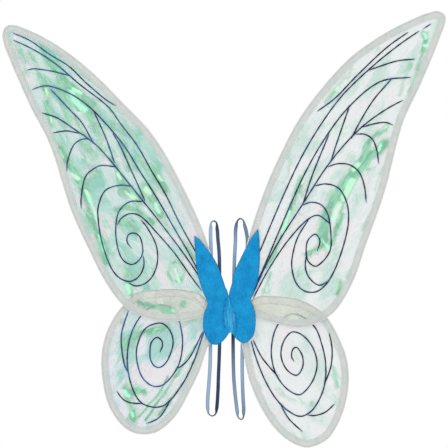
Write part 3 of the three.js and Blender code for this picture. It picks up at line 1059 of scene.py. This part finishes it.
def fold_height(wing, points, edge_gap):
    """How far the cloth stands forward of flat: long soft folds along its pull."""
    across, along = in_pull_axes(wing, points)
    seed = 3.7 * WINGS.index(wing)

    def folds(size):
        width, length = size
        return np.array([
            noise.noise((a / width, b / length, seed)) for a, b in zip(across, along)])

    height = folds(BROAD_FOLDS) + 0.45 * folds(NARROW_FOLDS)
    return FOLD_HEIGHT * height * eased(np.clip(edge_gap / FOLD_FADE, 0, 1))


def lines_of(strokes):
    """Millimetre outlines as smooth (x, z) lines in metres."""
    return [catmull(np.array(points, float) * MM, VEIN_STEP) for points in strokes]


def vein_piece(wing, lines, print_loop, depth_of, material):
    """The glitter print as low ridges that narrow towards their ends."""
    parts = []
    angles = np.linspace(0, math.pi, VEIN_SIDES)
    for line in lines:
        line = line[is_inside(line, print_loop)]
        if len(line) < 3:
            continue
        ends = np.minimum(np.arange(len(line)), np.arange(len(line))[::-1]) * VEIN_STEP
        taper = VEIN_END + (1 - VEIN_END) * np.clip(ends / VEIN_TAPER, 0, 1)
        half = VEIN_HALF_WIDTH * taper * (1 + 0.12 * np.sin(np.arange(len(line)) * 0.9))
        profiles = np.stack([
            half[:, None] * np.cos(angles), VEIN_HEIGHT * taper[:, None] * np.sin(angles)], 2)
        sides, ups = flat_frame(line)
        parts.append(sweep(upright(line, depth_of(line)), profiles, sides, ups))
    piece = add_mesh(wing + "_glitter_veins", *joined(parts), material)
    face_outwards(piece)
    return piece


def hem_sleeve(wing, edge, layer, material):
    """The mesh folded round the wire: a front flap, the fold, and a back flap."""
    turn = np.linspace(-math.pi / 2, math.pi / 2, 7)
    round_wire = [(WIRE_INSET * (1 - math.cos(t)), -HEM_FOLD_DEPTH * math.sin(t)) for t in turn]
    behind = [(inward, -forward) for inward, forward in reversed(HEM_SIDES)]
    rows = [*HEM_SIDES, *round_wire, *behind]
    verts = []
    ripple = np.array([noise.noise((p[0] / 0.02, p[1] / 0.02, 5.0)) for p in edge])
    for inward, forward in rows:
        line = moved_in(edge, inward) if inward > 0.05 * MM else edge
        wave = ripple * HEM_RIPPLE * min(1.0, inward / (8 * MM))
        verts.append(upright(line, layer - forward + wave))
    verts = np.array(verts)
    width, stations = verts.shape[:2]
    faces = []
    for k in range(width - 1):
        for i in range(stations - 1):
            a = k * stations + i
            faces.append((a, a + 1, a + stations + 1, a + stations))
    piece = add_mesh(wing + "_hem", verts.reshape(-1, 3), faces, material)
    face_outwards(piece)
    fold = np.repeat([max(0.0, 1 - inward / HEM_CREASE) for inward, _ in rows], stations)
    set_attribute(piece, "fold", fold)
    lens = lens_field(wing, verts.reshape(-1, 3)[:, (0, 2)])
    set_attribute(piece, "lens", lens * wing.endswith("lower"))
    return piece


def wire_piece(wing, edge, layer, material):
    """The wing's wire, with its two tails running on into the root wrap."""
    low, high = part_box(wing + "_root_wrap")
    upper = wing.endswith("upper")
    outer = low.x if wing.startswith("left") else high.x
    middle = (low.x + high.x) / 2
    upright_tail = np.array([middle, high.z if upper else low.z])
    sideways_tail = np.array([outer, (low.z + high.z) / 2])
    first, last = (upright_tail, sideways_tail) if upper else (sideways_tail, upright_tail)
    line = moved_in(edge, WIRE_INSET)
    line = catmull(np.vstack([first, line[WIRE_EVERY:-WIRE_EVERY:WIRE_EVERY], last]), EDGE_STEP)
    angles = np.linspace(0, 2 * math.pi, WIRE_SIDES, endpoint=False)
    ring = WIRE_RADIUS * np.stack([np.cos(angles), np.sin(angles)], 1)
    sides, ups = flat_frame(line)
    verts, faces = sweep(upright(line, layer), np.tile(ring, (len(line), 1, 1)), sides, ups)
    piece = add_mesh(wing + "_wire", verts, faces, material)
    face_outwards(piece)
    return piece


def build_wing(wing, materials):
    body = WING_BODY[wing]
    layer = layer_of(wing)
    root = root_of(wing)
    sheet = open_at_root(rim_loops(wing + "_front_mesh")[0], root)
    sheet_edge = catmull(sheet, EDGE_STEP)
    edge = moved_in(sheet_edge, -SHEET_INSET)
    film_loop = moved_in(sheet_edge, FILM_INSET - SHEET_INSET)
    print_loop = moved_in(sheet_edge, PRINT_INSET - SHEET_INSET)

    def depth_at(offset):
        def depth_of(points):
            gap = distance_to(points, film_loop, closed=True)
            gap = np.where(is_inside(points, film_loop), gap, 0)
            return layer + offset - fold_height(wing, points, gap)
        return depth_of

    lines = lines_of(VEINS[wing])
    film_piece, points = thin_sheet(
        wing + "_iridescent_film", film_loop, FILM_STEP, depth_at(0), film_material(wing))
    set_uv(film_piece, np.stack(in_pull_axes(wing, points), 1))
    seed = WINGS.index(wing)
    set_attribute(film_piece, "green", fold_field(points, GREEN_FOLDS[wing], seed))
    set_attribute(film_piece, "bright", fold_field(points, PAINTED_HIGHLIGHT_FOLDS[wing], seed))
    set_attribute(film_piece, "halo", halo_field(points, lines))
    set_attribute(film_piece, "lens", lens_field(wing, points))
    set_attribute(film_piece, "hem_behind", hem_behind_field(wing, points))

    sheet_loop = moved_in(sheet_edge, HEM_WIDTH - SHEET_INSET - SHEER_TUCK)
    front, _ = thin_sheet(
        wing + "_front_sheer", sheet_loop, MESH_STEP, depth_at(-SHEET_GAP), materials["mesh"])
    back, _ = thin_sheet(
        wing + "_back_sheer", sheet_loop, MESH_STEP, depth_at(SHEET_GAP), materials["mesh"])
    hem = hem_sleeve(wing, edge, layer, materials["hem"])
    wire = wire_piece(wing, edge, layer, materials["wire"])
    veins = vein_piece(
        wing, lines, print_loop, depth_at(-SHEET_GAP - VEIN_LIFT), vein_material(wing))

    for piece, node, slot in (
            (film_piece, wing + "_film", "iridescent_film"),
            (front, wing + "_front_mesh", "glitter_mesh"),
            (back, wing + "_back_mesh", "glitter_mesh"),
            (hem, wing + "_hem_strip", "hem_mesh"),
            (wire, wing + "_wire_loop", "white_coated_wire"),
            (veins, None, "glitter_mesh")):
        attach(piece, body)
        if node:
            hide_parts(node)


def wavy(points, seed):
    """The points shifted a little, so that what is placed by them has an uneven edge."""
    shift = []
    for x, z in points:
        broad = noise.noise_vector((x / 0.03, z / 0.03, seed))
        small = noise.noise_vector((x / 0.009, z / 0.009, seed + 20))
        shift.append((3.2 * broad.x + 1.4 * small.x, 3.2 * broad.y + 1.4 * small.y))
    return points + np.array(shift) * MM


def fold_field(points, folds, seed):
    """How strongly the folds tint the film at each point, 0 to 1."""
    shifted = wavy(points, seed)
    field = np.zeros(len(points))
    for line, half_width, strength in folds:
        gap = distance_to(shifted, catmull(np.array(line, float) * MM, 5 * MM))
        near = gap / (half_width * MM)
        field = np.maximum(field, strength * np.exp(-0.9 * near * near))
    return field


def depth_inside(wing, points):
    """How far inside the wing's folded edge each point lies, below 0 outside it."""
    outline = rim_loops(wing + "_front_mesh")[0]
    gap = distance_to(points, outline, closed=True)
    return np.where(is_inside(points, outline), gap, -gap) + SHEET_INSET


def lens_field(wing, points):
    """1 where this wing and its upper or lower neighbour lie over one another, else 0."""
    side, level = wing.split("_")
    neighbour = side + ("_lower" if level == "upper" else "_upper")
    return np.clip(depth_inside(neighbour, points) / LENS_EDGE + 0.5, 0, 1)


def hem_behind_field(wing, points):
    """1 where an upper wing's film lies over its lower wing's hem, and 0 elsewhere."""
    if not wing.endswith("upper"):
        return np.zeros(len(points))
    inward = depth_inside(wing.replace("upper", "lower"), points)
    across = np.abs(inward - HEM_WIDTH / 2) - HEM_WIDTH / 2
    return np.clip(0.5 - across / LENS_EDGE, 0, 1)


def halo_field(points, lines):
    """Blue glitter dust beside the veins, thickest where two of them run close together."""
    dust = np.zeros(len(points))
    for line in lines:
        gap = distance_to(points, line[::2])
        dust += np.exp(-(gap / HALO_REACH) ** 2)
    return np.clip(dust - 0.55, 0, 1)


# ---------------------------------------------------------------- felt butterfly

def felt_loop(side):
    """One half of the butterfly, from its CAD outline on to the seam down the middle."""
    outline = rim_loops("felt_patch_left" if side < 0 else "felt_patch_right")[0]
    inner = np.abs(outline[:, 0]).min()
    on_edge = np.abs(np.abs(outline[:, 0]) - inner) < 0.05 * MM
    first = int(np.flatnonzero(on_edge & np.roll(on_edge, -1))[0])
    round_half = smooth(np.roll(outline, -(first + 1), 0), FELT_STEP)
    seam = [(x * MM, z * MM) for x, z in FELT_SEAM[side]]
    if abs(seam[0][1] - round_half[-1][1]) > abs(seam[-1][1] - round_half[-1][1]):
        seam = seam[::-1]
    closing = catmull(np.vstack([round_half[-1], seam, round_half[0]]), FELT_STEP)
    return np.vstack([round_half, closing[1:-1]])


def build_felt(material, ridge):
    """The butterfly's two halves, which rise over the centre stay."""
    low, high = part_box("felt_patch_left")
    front_y, back_y = low.y, high.y
    for side, body in ((-1, "left_wing"), (1, "right_wing")):
        loop = felt_loop(side)

        def rounded(points, loop=loop):
            gap = distance_to(points, loop, closed=True)
            along_seam = (np.abs(points[:, 0]) < 2 * MM) & (np.abs(points[:, 1]) < SEAM_HALF_LENGTH)
            t = np.clip(np.where(along_seam, FELT_ROUND, gap) / FELT_ROUND, 0, 1)
            return FELT_ROUND * 0.5 * (1 - np.sqrt(1 - (1 - t) ** 2))

        def over_stay(points):
            return eased(np.clip((STAY_REACH - np.abs(points[:, 0])) / STAY_SLOPE, 0, 1))

        def front_of(points):
            wave = np.array([noise.noise((p[0] / 0.03, p[1] / 0.04, 9.0)) for p in points])
            return front_y + rounded(points) - FELT_SAG * wave - FELT_LIFT * over_stay(points)

        def back_of(points):
            clear_of_stay = front_y - STAY_CLEARANCE
            rear = back_y - rounded(points) * 0.6
            near = np.clip(over_stay(points) * 1.5, 0, 1)
            return rear + (clear_of_stay - rear) * near

        name = "felt_butterfly_left" if side < 0 else "felt_butterfly_right"
        piece = solid_sheet(name, loop, FELT_STEP, front_of, back_of, material)
        verts = np.array([tuple(v.co) for v in piece.data.vertices])
        mark_fold(piece, verts)
        to_edge = distance_to(verts[:, (0, 2)], loop, closed=True)
        on_seam = (np.abs(verts[:, 0]) < 4 * MM) & (np.abs(verts[:, 2] - 1 * MM) < SEAM_HALF_LENGTH)
        set_attribute(piece, "cut_edge_shade", np.where(on_seam, 0, np.clip(1 - to_edge / FELT_CUT, 0, 1)))
        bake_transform(piece)
        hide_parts("felt_patch_left" if side < 0 else "felt_patch_right")


def mark_fold(piece, verts):
    """The stitched fold: painted shade as a darker line down each flank, and a painted highlight, paler,
    on the raised felt between.
    """
    points = verts[:, (0, 2)]
    flank = np.zeros(len(points))
    for line in FELT_FLANKS:
        gap = distance_to(points, catmull(np.array(line, float) * MM, FELT_STEP))
        flank = np.maximum(flank, np.exp(-(gap / FLANK_REACH) ** 2))
    left, right = (np.array(line, float) * MM for line in FELT_FLANKS)
    low, high = (np.interp(points[:, 1], side[::-1, 1], side[::-1, 0], 0, 0)
                 for side in (left, right))
    inside = np.clip(np.minimum(points[:, 0] - low, high - points[:, 0]) / (1.5 * MM), 0, 1)
    set_attribute(piece, "flank", flank)
    set_attribute(piece, "ridge_highlight", inside * (1 - 0.6 * flank))


def build_felt_fold(material):
    """The raised body down the middle: felt pinched up into a soft ridge and stitched."""
    low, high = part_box("felt_body_fold")
    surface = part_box("felt_patch_left")[0].y - FELT_LIFT
    stations = np.linspace(low.z + 3 * MM, high.z - 1 * MM, RIDGE_STATIONS)
    middle = (stations[0] + stations[-1]) / 2
    half = (stations[-1] - stations[0]) / 2
    across = np.linspace(-1, 1, RIDGE_POINTS)
    verts = []
    for z in stations:
        t = (z - middle) / half
        full = math.sqrt(max(0.0, 1 - t * t))
        width = (0.5 + 4.4 * full) * MM
        rise = (0.2 + 1.15 * full) * MM
        x = np.interp(z, *zip(RIDGE_BOTTOM[::-1], RIDGE_TOP[::-1])) + across * width
        crown = np.cos(across * math.pi / 2) ** 1.3
        pleat = 0.3 * np.exp(-((across - 0.18 * math.sin(3 * t)) / 0.12) ** 2)
        front = surface - rise * (crown - pleat * full) + 0.15 * MM
        back = np.full_like(x, surface + RIDGE_BACK)
        level = np.full_like(x, z)
        verts.append(np.stack([x, front, level], 1))
        verts.append(np.stack([x[::-1], back, level], 1))
    faces = tube_faces(RIDGE_STATIONS, 2 * RIDGE_POINTS)
    verts = np.vstack(verts)
    piece = add_mesh("felt_body_ridge", verts, faces, material)
    face_outwards(piece)
    mark_fold(piece, verts)
    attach(piece, "hub")
    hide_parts("felt_body_fold")
    return piece


# ---------------------------------------------------------------- shoulder loops

def loop_centreline(side):
    """The middle line of the elastic, from the outline of its CAD node."""
    outside = smooth(rim_loops(side + "_shoulder_loop")[0], LOOP_STEP, True, 180)
    line = moved_in(outside, ELASTIC_WIDTH / 2, closed=True)
    return catmull(line[::2], LOOP_STEP, closed=True)


def build_shoulder_loop(side, material):
    """A flat elastic ring that tips up on its edge where it arches over at each end."""
    line = loop_centreline(side)
    low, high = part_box(side + "_shoulder_loop")
    depth = (low.y + high.y) / 2
    top, bottom = line[:, 1].max(), line[:, 1].min()
    centre = np.interp(line[:, 1], *strand_middle(line))
    outer_side = line[:, 0] < centre
    near_end = np.minimum(top - line[:, 1], line[:, 1] - bottom)
    twist = (1 - eased(np.clip(near_end / TIP_LENGTH, 0, 1))) * TIP_ANGLE
    normal = inward_normals(line, closed=True)
    seen_half = (np.cos(twist) * ELASTIC_WIDTH + np.sin(twist) * ELASTIC_THICKNESS) / 2
    line = line - normal * (ELASTIC_WIDTH / 2 - seen_half)[:, None]
    flat = upright(normal, 0.0)
    forward = np.tile([0.0, FORWARD, 0.0], (len(line), 1))
    cos, sin = np.cos(twist)[:, None], np.sin(twist)[:, None]
    sides = flat * cos + forward * sin
    ups = forward * cos - flat * sin
    profile = band_profile(ELASTIC_WIDTH / 2, ELASTIC_THICKNESS / 2)
    verts, faces = sweep(upright(line, depth), np.tile(profile, (len(line), 1, 1)),
                         sides, ups, closed=True)
    piece = add_mesh(side + "_elastic_loop", verts, faces, material)
    face_outwards(piece)
    # The painted light and shade along each strand, by height
    levels, outer_shades, inner_shades = STRAND_LIGHT_AND_SHADE[side]
    height = line[:, 1] / MM
    shade = np.where(outer_side, np.interp(height, levels, outer_shades),
                     np.interp(height, levels, inner_shades))
    set_attribute(piece, "shade", np.repeat(shade, len(profile)))
    rim = np.abs(profile[:, 0]) / (ELASTIC_WIDTH / 2)
    set_attribute(piece, "edge", np.tile(np.clip(rim * 3 - 2, 0, 1), len(line)))
    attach(piece, side + "_strap")
    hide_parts(side + "_shoulder_loop")


def strand_middle(line):
    """Heights up the loop, and the middle between its two strands at each."""
    levels = np.linspace(line[:, 1].min(), line[:, 1].max(), 40)
    middles = []
    for level in levels:
        near = line[np.abs(line[:, 1] - level) < STRAND_BAND, 0]
        middles.append((near.min() + near.max()) / 2)
    return levels, middles


def band_profile(half_width, half_thickness):
    """A flat band's section, with rounded edges and three shallow ribs on each face."""
    across = np.linspace(-1, 1, 9)
    rib = 1 - 0.18 * np.cos(across * math.pi * 3)
    edge = np.sqrt(np.clip(1 - np.abs(across) ** 6, 0.06, 1))
    upper = np.stack([across * half_width, half_thickness * rib * edge], 1)
    lower = upper[::-1] * (1, -1)
    return np.vstack([upper, lower])


def build_tacks(side, material):
    """Each bar tack as a row of thread stitches over the elastic."""
    for number in (1, 2):
        node = f"{side}_bar_tack_{number}"
        low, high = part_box(node)
        rows = np.linspace(low.z + STITCH_MARGIN, high.z - STITCH_MARGIN, STITCH_ROWS)
        angles = np.linspace(0, 2 * math.pi, STITCH_SIDES, endpoint=False)
        ring = STITCH_RADIUS * np.stack([np.cos(angles), np.sin(angles)], 1)
        sides = np.tile([0.0, 0.0, 1.0], (STITCH_POINTS, 1))
        ups = np.tile([0.0, 1.0, 0.0], (STITCH_POINTS, 1))
        xs = np.linspace(low.x, high.x, STITCH_POINTS)
        arch = np.sin(np.linspace(0, math.pi, STITCH_POINTS)) * STITCH_ARCH
        depth = (low.y + high.y) / 2 + arch - STITCH_SINK
        parts = []
        for i, z in enumerate(rows):
            tilt = STITCH_TILT * (-1) ** i
            path = np.stack([xs, depth, z + np.linspace(-tilt, tilt, STITCH_POINTS)], 1)
            parts.append(sweep(path, np.tile(ring, (STITCH_POINTS, 1, 1)), sides, ups))
        piece = add_mesh(node + "_thread", *joined(parts), material)
        face_outwards(piece)
        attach(piece, side + "_strap")
        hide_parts(node)


# ---------------------------------------------------------------- hub behind the felt

def build_back_patch(material):
    """The felt pad on the wearer's side, with softened edges on the CAD pad's own shape."""
    source = frame["nodes"]["back_patch"]
    piece = source.copy()
    piece.data = source.data.copy()
    piece.name = "back_felt_pad"
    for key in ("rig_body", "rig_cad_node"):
        if key in piece:
            del piece[key]
    piece.parent = None
    bpy.context.scene.collection.objects.link(piece)
    mesh = bmesh.new()
    mesh.from_mesh(piece.data)
    bmesh.ops.remove_doubles(mesh, verts=mesh.verts, dist=1e-6)
    bmesh.ops.dissolve_limit(mesh, angle_limit=0.02, verts=mesh.verts, edges=mesh.edges)
    bmesh.ops.bevel(mesh, geom=mesh.edges[:], offset=PAD_BEVEL, segments=3, affect="EDGES",
                    clamp_overlap=True)
    bmesh.ops.recalc_face_normals(mesh, faces=mesh.faces)
    mesh.to_mesh(piece.data)
    mesh.free()
    piece.data.materials.clear()
    piece.data.materials.append(material)
    for face in piece.data.polygons:
        face.use_smooth = True
    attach(piece, "hub")
    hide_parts("back_patch")


def tape_section():
    """A rounded square as points about the middle, and each point's way round, 0 to 1."""
    turn = np.arange(TAPE_SIDES) / TAPE_SIDES
    cos, sin = np.cos(turn * 2 * math.pi), np.sin(turn * 2 * math.pi)
    power = 2 / TAPE_SQUARENESS
    x = np.sign(cos) * np.abs(cos) ** power
    y = np.sign(sin) * np.abs(sin) ** power
    return np.stack([x, y], 1), turn


def wound_tape(node, body, material):
    """Cloth tape wound round a bundle, each lap standing a little proud of the one below."""
    low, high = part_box(node)
    middle = np.array([(low.x + high.x) / 2, (low.y + high.y) / 2])
    half = np.array([(high.x - low.x) / 2, (high.y - low.y) / 2])
    section, turn = tape_section()
    stations = np.arange(low.z, high.z, TAPE_STEP)
    verts = []
    for z in np.append(stations, high.z):
        lap = (z / TAPE_PITCH - turn) % 1.0
        sunk = TAPE_LAP * (1 - np.minimum(lap / 0.8, (1 - lap) / 0.2))
        from_end = min(z - low.z, high.z - z)
        sunk = sunk + TAPE_ROUND * (1 - min(1.0, from_end / TAPE_ROUND)) ** 2
        ring = middle + section * (half[None, :] - sunk[:, None])
        verts.append(np.column_stack([ring, np.full(TAPE_SIDES, z)]))
    faces = tube_faces(len(verts), TAPE_SIDES)
    piece = add_mesh(node + "_tape", np.vstack(verts), faces, material)
    face_outwards(piece)
    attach(piece, body)
    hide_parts(node)


# ---------------------------------------------------------------- camera, light, floor

def build_stage():
    """The camera at the photograph's angle, a plain floor, and soft even light."""
    scene = bpy.context.scene
    x, z = VIEW_CENTRE
    wing_y = layer_of("left_upper")
    camera = bpy.data.objects.new("camera", bpy.data.cameras.new("camera"))
    camera.data.lens = CAMERA_LENS
    camera.data.sensor_width = CAMERA_SENSOR
    camera.location = (x, wing_y - VIEW_WIDTH * CAMERA_LENS / CAMERA_SENSOR, z)
    camera.rotation_euler = (math.pi / 2, 0, 0)
    scene.collection.objects.link(camera)
    scene.camera = camera

    corners = [(x * FLOOR_REACH, y * FLOOR_REACH, -WORN_HEIGHT)
               for x, y in ((-1, -1), (1, -1), (1, 1), (-1, 1))]
    floor = add_mesh("floor", corners, [(0, 1, 2, 3)], floor_material())

    world = bpy.data.worlds.new("studio")
    scene.world = world
    world.use_nodes = True
    background = world.node_tree.nodes["Background"]
    background.inputs["Color"].default_value = (1, 1, 1, 1)
    background.inputs["Strength"].default_value = 1.0

    for name, place, aim, size, power in LAMPS:
        light = bpy.data.lights.new(name, "AREA")
        light.size = size
        light.energy = power
        lamp = bpy.data.objects.new(name, light)
        lamp.location = place
        lamp.rotation_euler = (Vector(aim) - Vector(place)).to_track_quat("-Z", "Y").to_euler()
        scene.collection.objects.link(lamp)

    scene.view_settings.view_transform = "Standard"
    scene.view_settings.look = "None"


def floor_material():
    look = Shader("studio_floor", roughness=0.9)
    tone = look.noise(look.place((2, 2, 2)), detail=2)
    look.colour(look.mix(look.between(tone, 0.3, 0.7), srgb(243, 243, 243), srgb(245, 245, 245)))
    return look.material


# ---------------------------------------------------------------- everything

build_stage()
shared = {
    "mesh": mesh_material(),
    "hem": hem_material(),
    "wire": wire_material(),
}
for wing_name in WINGS:
    build_wing(wing_name, shared)
tape = tape_material()
wound_tape("centre_stay", "hub", tape)
felt = felt_material()
build_felt(felt, build_felt_fold(felt))
build_back_patch(felt)
elastic = elastic_material()
thread = thread_material()
for side_name in ("left", "right"):
    build_shoulder_loop(side_name, elastic)
    build_tacks(side_name, thread)
for wing_name in WINGS:
    wound_tape(wing_name + "_root_wrap", WING_BODY[wing_name], tape)
